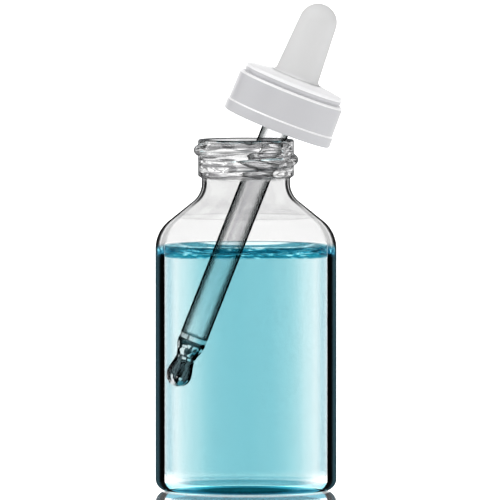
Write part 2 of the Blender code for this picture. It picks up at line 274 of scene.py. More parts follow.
@labelled
class Finishes(bpy.types.PropertyGroup):
    """Colours of the materials and of the light."""

    # Painted shade: glass over the liquid is greyer than glass backed by it, greyer still near the
    # neck
    glass: colour("Clear glass over the liquid, seen face on", "DDDDDD")
    glass_upper_shade: colour("Clear glass near the neck", "D2D2D2")
    glass_wet: colour("Clear glass backed by the liquid", "FEFEFE")
    finish: colour("Thick glass of the screw finish", "F6F6F6")
    # Painted shade: dark folds round the screw finish, and its flanks and lip
    finish_fold_shade: colour("Darker folds that run round it", "BABABB")
    finish_edge_shade: colour("Screw finish seen along its side", "5E6062")
    # Painted shade along the glass's outline and in its fine dark lines
    glass_edge_shade: colour("Clear glass seen along its edge", "1C1E1F")
    # Painted shade: the wall beside the liquid drawn as a dark band
    band_inner_shade: colour("Wall of the body, next to the liquid", "05070C")
    band_outer_shade: colour("Wall of the body, at its outline", "56727A")
    # Painted shade and painted glints where the wall stands beside the surface
    level_ring_shade: colour("Wall of the body beside the surface", "4E8CA0")
    level_glint: colour("Where that wall is lit", "B4E4EC")
    # Painted shade of the base seen at a low angle, and painted light beside the heel
    base_middle_shade: colour("Underside of the base at its middle", "2C808A")
    base_rim_shade: colour("Underside of the base towards the heel", "76C6D2")
    base_edge_light: colour("Underside of the base beside the heel", "D0FFFF")
    # Painted shade: the heel is darker where light enters it
    heel: colour("Foot of the body, where light enters it", "5A98A8")
    heel_far: colour("Foot of the body, where light leaves it", "84C3CE")
    # Painted shade: drawn glass greyer in air than wet, dark at its wall and outline and at the tip
    tube: colour("Drawn glass, seen face on", "F7F7F7")
    tube_shade: colour("Faint streaks along the draw", "EAEAEB")
    tube_wet: colour("Drawn glass with liquid on both its sides", "FEFEFE")
    tube_wall_shade: colour("Drawn glass where its wall begins", "A4A6A6")
    tube_edge_shade: colour("Drawn glass at its outline", "3E4244")
    tube_melt_shade: colour("Melted glass of the tip", "9AA0A2")
    serum: colour("Light that passes a short way through it", "42D6E0")
    # Painted shade and light on the liquid's side: darker middle, lighter sides, greyer rim
    serum_side_light: colour("What the side of the liquid lets in", "FEECEA")
    serum_middle_shade: colour("Its middle, and soft upright streaks in it", "E8E3E3")
    serum_rim_shade: colour("The side of the liquid beside the glass", "D6DADC")
    # Painted shade and painted light on the surface, and pale where it climbs the glass
    surface: colour("Tint of the surface at a low angle", "56B8C8")
    surface_shade: colour("Its dark ripples", "26889A")
    surface_light: colour("Tint of the surface where it is lit", "EAFDFF")
    meniscus: colour("Thin liquid where it climbs the glass", "F8FEFF")
    plastic: colour("Moulded polypropylene", "CDCDD0")
    # Painted highlight along the cap's edges
    plastic_edge_highlight: colour("Its edges, polished by the mould", "FDFDFE")
    rubber: colour("Moulded rubber", "DEDEDE")
    floor: colour("Glossy white board", "F4F4F4")


@labelled
class StageSizes(bpy.types.PropertyGroup):
    """The camera's place and the size of the floor."""

    look_x: length("Middle of the picture along X", -0.55)
    look_z: length("Middle of the picture along Z", 53.2)
    elevation: angle("How far the camera looks down", 2.7)
    distance: length("Camera to the bottle", 2650.0)
    lens: FloatProperty(description="Focal length in millimetres", default=864.0)
    floor_radius: length("Radius of the round floor", 14000.0)


def add_node(tree, kind, inputs=(), out=0, **settings):
    """Adds a node, sets its attributes and its inputs, and returns one output, or all for None.

    A kind without Node in its name is a shader node. The inputs go in order or by name, and each
    is a value or a link.
    """
    made = tree.nodes.new(kind if "Node" in kind else "ShaderNode" + kind)
    for name, value in settings.items():
        setattr(made, name, value)
    for name, value in inputs.items() if isinstance(inputs, dict) else enumerate(inputs):
        socket = made.inputs[name]
        if isinstance(value, bpy.types.NodeSocket):
            tree.links.new(value, socket)
        elif socket.type == "RGBA":
            socket.default_value = (*value, 1)
        else:
            socket.default_value = value
    return made.outputs if out is None else made.outputs[out]


def blank_material(name):
    """A material, its empty tree, and add_node on that tree."""
    made = bpy.data.materials.new(name)
    made.use_nodes = True
    made.node_tree.nodes.clear()
    return made, partial(add_node, made.node_tree)


def layered(node, tint, *layers):
    """A tint with others laid over it, each by its own share."""
    for share, over in layers:
        tint = node(BLEND, {0: share, 6: tint, 7: over}, **TINT)
    return tint


def whereabouts(node):
    """A point's place, the parts of it, and how far its face turns from the eye: 1 is edge on."""
    place = node("TexCoord", out="Object")
    parts = node("SeparateXYZ", (place,), out=None)
    return place, parts, node("LayerWeight", {"Blend": 0.5}, out="Facing")


def per_metre(spacing):
    """Scale of a noise whose features lie this many millimetres apart."""
    return 1 / (spacing * MM)


def line_near(node, value, middle, half, softness, most=1.0):
    """A share that is at its most within half of the middle, and fades out over the softness."""
    off = node(MATH, (value, middle), **MINUS)
    off = node(MATH, (off,), **UNSIGNED)
    return node(RANGE, (off, half + softness, half, 0.0, most), **SMOOTH)


# Outlines are lists of (radius, height) points in metres, down the outer side and up the inner one


def arc(centre, radius, start, end, steps=BEND_STEPS):
    """Points of an arc in degrees; 0 points outwards and 90 points up."""
    points = []
    for step in range(steps + 1):
        at = math.radians(start + (end - start) * step / steps)
        points.append((centre[0] + radius * math.cos(at), centre[1] + radius * math.sin(at)))
    return points


def swell(start, end, steps=BEND_STEPS):
    """Points of a smooth S from one point to another; it leaves both straight up."""
    points = []
    for step in range(steps + 1):
        share = step / steps
        part = (1 - math.cos(math.pi * share)) / 2
        radius = start[0] + (end[0] - start[0]) * part
        points.append((radius, start[1] + (end[1] - start[1]) * share))
    return points


def rows(start, end, count):
    """Points of a straight side, ends included, close enough together to carry a relief."""
    return [
        (start[0] + (end[0] - start[0]) * row / count, start[1] + (end[1] - start[1]) * row / count)
        for row in range(count + 1)
    ]


def shoulder(size, inset):
    """The shoulder's S curve, from the neck down to the body, as far inside the glass as inset."""
    slope = size.shoulder_slope
    degrees = math.degrees(slope)
    body = size.body_radius - (size.body_wall if inset else 0)
    neck = size.neck_radius - (size.neck_wall if inset else 0)
    body_bend = size.shoulder_bend - (size.body_wall if inset else 0)
    neck_bend = size.neck_bend + (size.neck_wall if inset else 0)
    bends = body_bend + neck_bend
    straight = (body - neck - bends * (1 - math.cos(slope))) / math.sin(slope)
    top = size.shoulder_foot + bends * math.sin(slope) + straight * math.cos(slope)
    return arc((neck + neck_bend, top), neck_bend, 180, 180 + degrees) + arc(
        (body - body_bend, size.shoulder_foot), body_bend, degrees, 0
    )


def lip_height(size):
    return shoulder(size, False)[0][1] + size.neck_length + size.finish_height


def serum_level(scene):
    return scene.bottle_sizes.shoulder_foot - scene.serum_sizes.below_shoulder


def bottle_outline(size):
    """The glass, with marks for where the thread stands and for what lies outside."""
    lip = lip_height(size)
    foot = lip - size.finish_height
    outer = size.lip_outer_round
    inner = size.lip_inner_round
    bore = size.finish_radius - size.lip_wall
    rim = arc((size.finish_radius - outer, lip - outer), outer, 90, 0, ROUND_STEPS)
    step = (size.finish_radius, foot + size.finish_foot)
    wall = rows((size.finish_radius, lip - outer), step, THREAD_ROWS)
    rest = swell(step, (size.neck_radius, foot), ROUND_STEPS)[1:]
    rest += shoulder(size, False)
    rest += arc((size.body_radius - size.heel, size.heel), size.heel, 0, -90)
    rest += [(0, 0), (0, size.base)]
    body_bore = size.body_radius - size.body_wall
    rest += arc((body_bore - size.inner_heel, size.base + size.inner_heel), size.inner_heel, -90, 0)
    rest += reversed(shoulder(size, True))
    rest += arc((bore + inner, lip - inner), inner, 180, 90, ROUND_STEPS)
    outline = rim + wall[1:] + rest
    threaded = range(len(rim), len(rim) + len(wall) - 2)
    inside = range(outline.index((0, size.base)), len(outline) - ROUND_STEPS)
    return outline, {
        "thread_wall": [float(at in threaded) for at in range(len(outline))],
        "outside": [float(at not in inside) for at in range(len(outline))],
    }


def serum_outline(bottle, size):
    """The liquid, and for each point whether it lies on the free surface."""
    side = bottle.body_radius - bottle.body_wall - size.film
    floor = bottle.base + size.film
    heel = bottle.inner_heel - size.film
    level = bottle.shoulder_foot - size.below_shoulder
    top = [(0, level)]
    for step in range(BEND_STEPS + 1):
        share = step / BEND_STEPS
        radius = side - size.meniscus_width * (1 - share)
        top.append((radius, level + size.meniscus_rise * share ** 2))
    rest = [(side, level + size.meniscus_rise - size.film)]
    rest += arc((side - heel, floor + heel), heel, 0, -90)
    rest.append((0, floor))
    return top + rest, {"free_surface": [1.0] * len(top) + [0.0] * len(rest)}


def pipette_outline(size):
    """The drawn tube: down its outer side to the ball, and up the bore, which ends in a cup."""
    ball = -size.ball_below_skirt
    waist = ball + size.ball_to_waist
    foot = waist + size.waist_to_tube
    bore = size.tube_radius - size.tube_wall_shade
    end = size.tube_end_round
    outline = arc((size.tube_radius - end, size.tube_top - end), end, 90, 0, ROUND_STEPS)
    outline += swell((size.tube_radius, foot), (size.waist_radius, waist))[:-1]
    outline += swell((size.waist_radius, waist), (size.ball_radius, ball))[:-1]
    ball_end = math.degrees(math.acos(size.tip_bore / size.ball_radius))
    outline += arc((0, ball), size.ball_radius, 0, -ball_end)
    cup = bore - size.tip_bore
    outline += arc((size.tip_bore, waist + size.bore_above_waist + cup), cup, -90, 0)
    inner = len(outline) - BEND_STEPS - 1
    outline.append((bore, size.tube_top - end))
    return outline, {
        "outside": [float(at < inner) for at in range(len(outline))],
        "along": [height - ball for _, height in outline],
    }


def cap_outline(size):
    """The cap, with marks for where the inner thread stands and for painted highlights on edges."""
    radius = size.cap_bore + size.skirt_wall
    top_radius = radius - size.band_step - size.band_chamfer - size.skirt_draft
    ring = top_radius - size.ring_inset
    ring_top = size.skirt_height + size.ring_height
    crown = ring_top + size.crown_rise
    ceiling = ring_top - size.cap_top
    recess_floor = ceiling - size.seat_gap - size.flange_thickness
    recess = size.flange_radius + size.seat_gap
    groove = ring - size.groove_depth
    groove_top = size.skirt_height + size.groove_height
    edge = size.skirt_edge
    step = size.band_step + size.band_chamfer
    band_radius = radius - step - size.skirt_draft * size.band_height / size.skirt_height
    outer = [(size.cap_hole, crown - edge), (size.cap_hole + edge / 2, crown)]
    polished = [0.0, 1.0]
    groove_side = swell(
        (ring - size.groove_depth / 3, groove_top + size.groove_depth), (groove, groove_top), 4
    )
    top_edge = size.skirt_top_edge
    ring_round = size.ring_round

    # Each part of the outside, with how much painted highlight its first point and the rest get
    for part, start, shine in (
        (arc((ring - ring_round, ring_top - ring_round), ring_round, 80, -20), 0.8, 1.0),
        (groove_side + [(groove, size.skirt_height)], 0.1, 0.1),
        (arc((top_radius - top_edge, size.skirt_height - top_edge), top_edge, 90, 0), 0.1, 1.0),
        (swell((band_radius, size.band_height + 1.8 * step), (radius, size.band_height)), 0.0, 1.0),
        (arc((radius - edge, edge), edge, 0, -90, ROUND_STEPS), 0.0, 0.0),
    ):
        outer += part
        polished += [start] + [shine] * (len(part) - 2) + [0.0]
    lead = size.band_step * 2.5
    outer += [(size.cap_bore + lead, 0)]
    wall = rows((size.cap_bore, lead), (size.cap_bore, recess_floor), THREAD_ROWS)
    rest = [(recess, recess_floor), (recess, ceiling), (size.cap_hole, ceiling)]
    marks = [0.0] * (len(outer) + 1) + [1.0] * (len(wall) - 2) + [0.0] * (len(rest) + 1)
    polished += [0.0] * (len(marks) - len(polished))
    return outer + wall + rest, {"thread_wall": marks, "polished": polished}


def bulb_outline(size):
    """The bulb: dome, tapered side, filleted foot and flange, and its cavity back up."""
    ring_top = size.skirt_height + size.ring_height
    crown = ring_top + size.crown_rise
    dome = crown + size.bulb_height - size.bulb_top
    foot = crown + size.seat_gap / 10
    flange_top = ring_top - size.cap_top - size.seat_gap
    flange_foot = flange_top - size.flange_thickness
    edge = size.flange_thickness / 4
    rim = size.flange_radius - edge
    bore = size.tube_radius + size.seat_gap
    taper = math.degrees(math.asin((size.bulb_base - size.bulb_top) / (dome - foot)))
    outline = arc((0, dome), size.bulb_top, 90, taper, BEND_STEPS * 2)
    flare = size.bulb_flare
    outline += arc((size.bulb_base + flare, foot + flare), flare, 180, 270, ROUND_STEPS)
    outline += [(size.bulb_base, foot), (size.bulb_base, flange_top)]
    outline += arc((rim, flange_top - edge), edge, 90, -90, ROUND_STEPS)
    outline += [(bore, flange_foot), (bore, size.tube_top)]
    outline += arc((0, dome), size.bulb_top - size.bulb_wall, 0, 90)
    return outline


def turned(name, outline, steps, marks=None, place=Matrix.Identity(4)):
    """A closed turned mesh from an outline; each list of marks becomes a number on each point."""
    points, rings, sources = [], [], []
    for index, (radius, height) in enumerate(outline):
        count = steps if radius > 0 else 1
        rings.append(list(range(len(points), len(points) + count)))
        for step in range(count):
            at = math.tau * step / steps
            points.append((radius * math.cos(at), radius * math.sin(at), height))
            sources.append(index)
    faces = []
    for index, ring in enumerate(rings):
        other = rings[(index + 1) % len(rings)]
        if len(ring) == 1 and len(other) == 1:
            continue
        for step in range(steps):
            after = (step + 1) % steps
            if len(ring) == 1:
                faces.append((ring[0], other[step], other[after]))
            elif len(other) == 1:
                faces.append((ring[step], other[0], ring[after]))
            else:
                faces.append((ring[step], other[step], other[after], ring[after]))
    mesh = bpy.data.meshes.new(name)
    mesh.from_pydata(points, [], faces)
    for mark, values in (marks or {}).items():
        layer = mesh.attributes.new(mark, "FLOAT", "POINT")
        layer.data.foreach_set("value", [values[index] for index in sources])
    shape = bmesh.new()
    shape.from_mesh(mesh)
    bmesh.ops.recalc_face_normals(shape, faces=shape.faces)
    if shape.calc_volume(signed=True) < 0:
        bmesh.ops.reverse_faces(shape, faces=shape.faces)
    shape.to_mesh(mesh)
    shape.free()
    mesh.shade_smooth()
    obj = bpy.data.objects.new(name, mesh)
    bpy.context.scene.collection.objects.link(obj)
    mesh.transform(place)
    return obj


def lean_and_turn():
    """How far the dropper's axis leans from upright, and which way, both in radians."""
    axis = Vector(JOINTS["cap_turn"]["axis"])
    return math.acos(axis.z), math.atan2(axis.y, axis.x)


def dropper_place():
    """Puts an upright piece's zero at the edge of the cap's skirt and its Z on the joint's axis."""
    lean, turn = lean_and_turn()
    place = Matrix.Translation(JOINTS["cap_turn"]["pos_m"])
    return place @ Euler((0, lean, turn)).to_matrix().to_4x4()


def thread_tree():
    """Geometry Nodes that raise a screw thread on the marked wall of a turned, upright piece."""
    tree = bpy.data.node_groups.get("screw_thread")
    if tree is not None:
        return tree
    tree = bpy.data.node_groups.new("screw_thread", "GeometryNodeTree")
    tree.interface.new_socket("Geometry", in_out="INPUT", socket_type="NodeSocketGeometry")
    for name in ("Pitch", "Bead", "Half width", "Start angle", "Sweep", "Start height", "Fade"):
        tree.interface.new_socket(name, in_out="INPUT", socket_type="NodeSocketFloat")
    tree.interface.new_socket("Material", in_out="INPUT", socket_type="NodeSocketMaterial")
    tree.interface.new_socket("Geometry", in_out="OUTPUT", socket_type="NodeSocketGeometry")
    node = partial(add_node, tree)
    given = node("NodeGroupInput", out=None)
    place = node("SeparateXYZ", (node("GeometryNodeInputPosition"),), out=None)
    around = node(MATH, (place["Y"], place["X"]), operation="ARCTAN2")
    around = node(MATH, (around, given["Start angle"]), **MINUS)
    around = node(MATH, (around, math.tau), operation="FLOORED_MODULO")
    relief = 0.0
    for turn in range(THREAD_TURNS):
        along = node(MATH, (around, math.tau * turn), **PLUS)
        left = node(MATH, (given["Sweep"], along), **MINUS)
        run_out = node(MATH, (along, left), operation="MINIMUM")
        run_out = node(MATH, (run_out, given["Fade"]), **OVER)
        run_out = node(RANGE, (run_out, 0.0, 1.0, 0.0, math.pi / 2))
        run_out = node(MATH, (run_out,), operation="SINE")
        rise = node(MATH, (along, given["Pitch"]), **TIMES)
        rise = node(MATH, (rise, math.tau), **OVER)
        off = node(MATH, (place["Z"], given["Start height"]), **MINUS)
        off = node(MATH, (off, rise), **MINUS)
        off = node(MATH, (off, given["Half width"]), **OVER)
        off = node(MATH, (off, off), **TIMES)
        round_top = node(RANGE, (off, 0.0, 1.0, 1.0, 0.0))
        round_top = node(MATH, (round_top, THREAD_FULLNESS), operation="POWER")
        bead = node(MATH, (round_top, run_out), **TIMES)
        relief = node(MATH, (relief, bead), **LARGER)
    marked = {"out": "Attribute", "data_type": "FLOAT"}
    wall = node("GeometryNodeInputNamedAttribute", {"Name": "thread_wall"}, **marked)
    height = node(MATH, (relief, wall), **TIMES)
    height = node(MATH, (height, given["Bead"]), **TIMES)
    outwards = node("CombineXYZ", (place["X"], place["Y"]))
    outwards = node("VectorMath", (outwards,), operation="NORMALIZE")
    offset = node("VectorMath", {0: outwards, "Scale": height}, operation="SCALE")
    moved = node("GeometryNodeSetPosition", {"Geometry": given["Geometry"], "Offset": offset})
    whole = node("GeometryNodeRealizeInstances", (moved,))
    painted = node("GeometryNodeSetMaterial", {"Geometry": whole, "Material": given["Material"]})
    node("NodeGroupOutput", (painted,), out=None)
    return tree


def apply_tree(obj, tree, values):
    """Runs a Geometry Nodes tree on an object with these named inputs, and keeps the plain mesh."""
    modifier = obj.modifiers.new(tree.name, "NODES")
    modifier.node_group = tree
    for item in tree.interface.items_tree:
        if item.in_out == "INPUT" and item.name in values:
            modifier[item.identifier] = values[item.name]
    bpy.context.view_layer.update()
    evaluated = obj.evaluated_get(bpy.context.evaluated_depsgraph_get())
    mesh = bpy.data.meshes.new_from_object(evaluated)
    obj.modifiers.remove(modifier)
    obj.data = mesh
    mesh.name = obj.name
    return obj


def moulded_glass(finishes, size, level):
    """Soda-lime glass, blown in a mould and fire-polished: clear face on, painted dark along its
    edges.

    Under the level the whole wall is painted as a band of shade, black inside and teal at the
    outline, and beside the surface it shows painted shade and glints of the ripples. Over it only
    two fine painted lines are dark. The wall's faces lie parallel, so it tints and mirrors and
    shifts nothing behind it. The screw finish is thick and uneven, and bends the light.
    """
    made, node = blank_material("soda_lime_glass_moulded")
    place, parts, facing = whereabouts(node)
    height = parts["Z"]
    outside = node("Attribute", out="Fac", attribute_name="outside")
    geometry = node("NewGeometry", out=None)
    leaving = geometry["Backfacing"]
    lip = lip_height(size)
    foot = lip - size.finish_height
    dry = node(RANGE, (height, level + 0.5 * MM, level + 2.0 * MM), **SMOOTH)
    finish = node(RANGE, (height, foot - 0.5 * MM, foot + 1.0 * MM), **SMOOTH)

    # How far an upright wall would face the eye here: 1 at the middle and 0 at the outline
    tilt = node("SeparateXYZ", (geometry["Normal"],), out="Z")
    tilt = node(MATH, (tilt, tilt), **TIMES)
    upright = node(MATH, (1.0, tilt), **MINUS)
    upright = node(MATH, (upright, 0.5), operation="POWER")
    towards = node(MATH, (1.0, facing), **MINUS)
    towards = node(MATH, (towards, upright), **OVER)

    # The wall beside the liquid: a painted band of shade, black inside and teal at the outline
    band_share = node(RANGE, (towards, 0.45, 0.43), **SMOOTH)
    band_side = node(RANGE, (towards, 0.36, 0.24), **SMOOTH)
    band = layered(node, finishes.band_inner_shade, (band_side, finishes.band_outer_shade))

    # Beside the surface the wall shows painted shade and painted glints of the ripples instead
    within = node(RANGE, (towards, 0.15, 0.25), **SMOOTH)
    beside = node(RANGE, (height, level - 1.0 * MM, level - 0.6 * MM, 0.0, within), **SMOOTH)
    ripple = node(NOISE, {"Vector": place, "Scale": per_metre(RIPPLE), "Detail": 3.0})
    ripple = node(RANGE, (ripple, 0.50, 0.62), **SMOOTH)
    ring = layered(node, finishes.level_ring_shade, (ripple, finishes.level_glint))
    band = layered(node, band, (beside, ring))

    # The wall over the liquid: painted dark lines of shade at its outline, and at its inside
    # a second that fades downwards
    outline = node(RANGE, (towards, 0.33, 0.22), **SMOOTH)
    depth = node(RANGE, (height, foot - 7.0 * MM, foot - 4.0 * MM, 0.2, 0.9), **SMOOTH)
    second = line_near(node, towards, 0.39, 0.03, 0.07, most=depth)
    line_share = node(MATH, (outline, second), **LARGER)

    # Its upper part has painted shade in soft clouds, over a fine dark line round the shoulder
    line = foot - SHOULDER_LINE * MM
    cloud = node(NOISE, {"Vector": place, "Scale": per_metre(GLASS_CLOUD), "Detail": 1.0})
    cloud = node(RANGE, (cloud, 0.45, 0.55, 0.35, 1.0), **SMOOTH)
    upper = node(RANGE, (height, line - 0.15 * MM, line + 0.15 * MM, 0.0, cloud), **SMOOTH)
    fine_line = line_near(node, height, line, 0.05 * MM, 0.17 * MM, most=0.10)
    fine_line = node(MATH, (fine_line, outside), **TIMES)
    clear = layered(
        node, finishes.glass, (upper, finishes.glass_upper_shade), (fine_line, finishes.glass_edge_shade),
    )
    for share in (outside, dry):
        clear = layered(node, finishes.glass_wet, (share, clear))

    # The base: painted shade, dark at its middle when it is seen at a low angle, and pale beside
    # the heel
    from_axis = node("CombineXYZ", (parts["X"], parts["Y"]))
    from_axis = node("VectorMath", (from_axis,), out="Value", operation="LENGTH")
    deep = node(RANGE, (from_axis, 12.5 * MM, 8.5 * MM), **SMOOTH)
    spread = node(RANGE, (from_axis, 13.0 * MM, 16.5 * MM), **SMOOTH)
    base = layered(
        node, finishes.base_rim_shade, (deep, finishes.base_middle_shade), (spread, finishes.base_edge_light),
    )
    under = node(RANGE, (height, 0.1 * MM, 0.02 * MM))
    lens = node(RANGE, (facing, 0.78, 0.93, 0.0, under), **SMOOTH)

    # The heel is painted darker where light enters it than where light leaves it, as shade
    low = node(RANGE, (height, 1.3 * MM, 0.9 * MM, 0.0, outside), **SMOOTH)
    heel = layered(node, finishes.heel, (leaving, finishes.heel_far))

    # The painted bands and lines go over the clear glass and its heel, and the base over them
    lined = node(BLEND, {0: dry, 2: band_share, 3: line_share})
    lined = node(MATH, (lined, outside), **TIMES)
    dark = layered(node, band, (dry, finishes.glass_edge_shade))
    tint = layered(node, clear, (low, heel), (lined, dark), (lens, base))

    # Painted highlights where the heel catches light: a rim on the floor, and soft patches beside
    # the bands
    curved = node(RANGE, (upright, 0.02, 0.10, 0.0, 0.65))
    rim = node(RANGE, (height, 0.32 * MM, 0.12 * MM, 0.0, curved), **SMOOTH)
    patch = 0.7
    for by, start, end in (
        (height, 0.9 * MM, 2.2 * MM), (height, 5.6 * MM, 2.6 * MM), (towards, 0.85, 0.56),
        (towards, 0.43, 0.52),
    ):
        patch = node(RANGE, (by, start, end, 0.0, patch), **SMOOTH)
    caught = node(MATH, (rim, patch), **LARGER)
    caught = node(MATH, (caught, outside), **TIMES)
    mirrored = node(RANGE, (facing, 0.3, 1.0, 0.0, MOST_MIRRORED), **SMOOTH)
    unlined = node(RANGE, (lined, 0.0, 1.0, 1.0, 0.1))
    raised = node(MATH, (1.0, under), **MINUS)
    for share in (outside, unlined, raised):
        mirrored = node(MATH, (mirrored, share), **TIMES)
    mirrored = node(MATH, (mirrored, caught), **LARGER)
    entering = node(MATH, (1.0, leaving), **MINUS)
    mirrored = node(MATH, (mirrored, entering), **TIMES)
    through = node(CLEAR, {"Color": tint})
    mirror = node(GLOSS, {"Color": WHITE, "Roughness": 0.05})
    wall = node("MixShader", (mirrored, through, mirror))

    # The screw finish, with the waves that the mould leaves round it, folds of painted shade, and
    # painted shade along its flanks and under the lip
    waves = node(MAPPING, {"Vector": place, "Scale": WAVES_PACKED})
    waves = node(NOISE, {"Vector": waves, "Scale": per_metre(MOULD_WAVE), "Detail": 1.0})
    bump = node("Bump", {"Height": waves, "Strength": 1.0, "Distance": 0.6 * MM})
    folds = node(MAPPING, {"Vector": place, "Scale": FOLD_SHADES_PACKED})
    folds = node(NOISE, {"Vector": folds, "Scale": per_metre(FOLD_SHADE), "Detail": 2.0})
    folds = node(RANGE, (folds, 0.54, 0.58), **SMOOTH)
    flank = node(RANGE, (facing, 0.62, 0.90, 0.0, outside), **SMOOTH)
    rim_line = node(RANGE, (height, lip - 0.45 * MM, lip - 0.15 * MM, 0.0, 0.95), **SMOOTH)
    flank = node(MATH, (flank, rim_line), **LARGER)
    tint = layered(
        node, finishes.finish, (folds, finishes.finish_fold_shade), (flank, finishes.finish_edge_shade),
    )
    thread = node("BsdfGlass", {"Color": tint, "IOR": 1.52, "Normal": bump})
    node(OUTPUT, {"Surface": node("MixShader", (finish, wall, thread))}, out=None)
    return made


def drawn_glass(finishes, level):
    """Borosilicate tube, drawn and flame-worked at its tip: its thick walls are painted as dark
    bands.

    Its painted grey is lighter where it is wet. The tip is drawn in and melted to a ball. It is
    painted dark, with painted highlights: bright rings where the bore ends and at the waist, and
    bright streaks on the lower side of the ball.
    """
    made, node = blank_material("borosilicate_glass_drawn")
    place, parts, facing = whereabouts(node)
    outside = node("Attribute", out="Fac", attribute_name="outside")
    along = node("Attribute", out="Fac", attribute_name="along")
    lean, turn = lean_and_turn()
    origin = {"Location": JOINTS["cap_turn"]["pos_m"], "Rotation": (0, lean, turn)}
    drawn, melted = (
        node(MAPPING, {"Vector": place, **origin, "Scale": (1, 1, stretch)}, vector_type="TEXTURE")
        for stretch in (DRAWN_STRETCH, MELTED_STRETCH)
    )

    # The straight tube, with faint streaks along the draw
    streak = node(NOISE, {"Vector": drawn, "Scale": per_metre(DRAWN_STREAK), "Detail": 1.0})
    streak = node(RANGE, (streak, 0.40, 0.60), **SMOOTH)
    wet = node(RANGE, (parts["Z"], level + 0.3 * MM, level - 0.3 * MM))
    clearer = node(MATH, (wet, 0.45), **TIMES)
    wall = node(RANGE, (facing, 0.06, 0.36), **SMOOTH)
    edge = node(RANGE, (facing, 0.42, 0.62), **SMOOTH)
    bore = layered(node, finishes.tube, (wet, finishes.tube_wet))

    # The worked tip: painted highlight rings and streaks, each by its place along the tube from the
    # ball's centre
    fleck = node(NOISE, {"Vector": melted, "Scale": per_metre(MELTED_FLECK), "Detail": 1.0})
    thread = node(NOISE, {"Vector": drawn, "Scale": per_metre(DRAWN_FLECK), "Detail": 0.0})
    bright = 0.0
    for middle, half, softness, broken, is_drawn in TIP_LIGHTS:
        kept = node(RANGE, (thread if is_drawn else fleck, broken, broken + 0.06), **SMOOTH)
        ring = line_near(node, along, middle * MM, half * MM, softness * MM, most=kept)
        bright = node(MATH, (bright, ring), **LARGER)
    worked = node(RANGE, (along, 9.6 * MM, 8.9 * MM), **SMOOTH)
    rounded = node(RANGE, (facing, 0.12, 0.45), **SMOOTH)
    tip = layered(node, finishes.tube_melt_shade, (rounded, finishes.tube_edge_shade))

    # From the middle of the tube to its painted dark outline, then the tip's painted shade, and the
    # bore behind it all
    tint = layered(
        node, finishes.tube_shade, (streak, finishes.tube), (clearer, finishes.tube_wet),
        (wall, finishes.tube_wall_shade), (edge, finishes.tube_edge_shade), (worked, tip),
    )
    tint = layered(node, bore, (outside, tint))
    mirrored = bright
    for share in (worked, 0.85, outside):
        mirrored = node(MATH, (mirrored, share), **TIMES)
    bump = node("Bump", {"Height": fleck, "Strength": 0.6, "Distance": 0.2 * MM})
    through = node(CLEAR, {"Color": tint})
    mirror = node(GLOSS, {"Color": WHITE, "Roughness": 0.15, "Normal": bump})
    node(OUTPUT, {"Surface": node("MixShader", (mirrored, through, mirror))}, out=None)
    return made


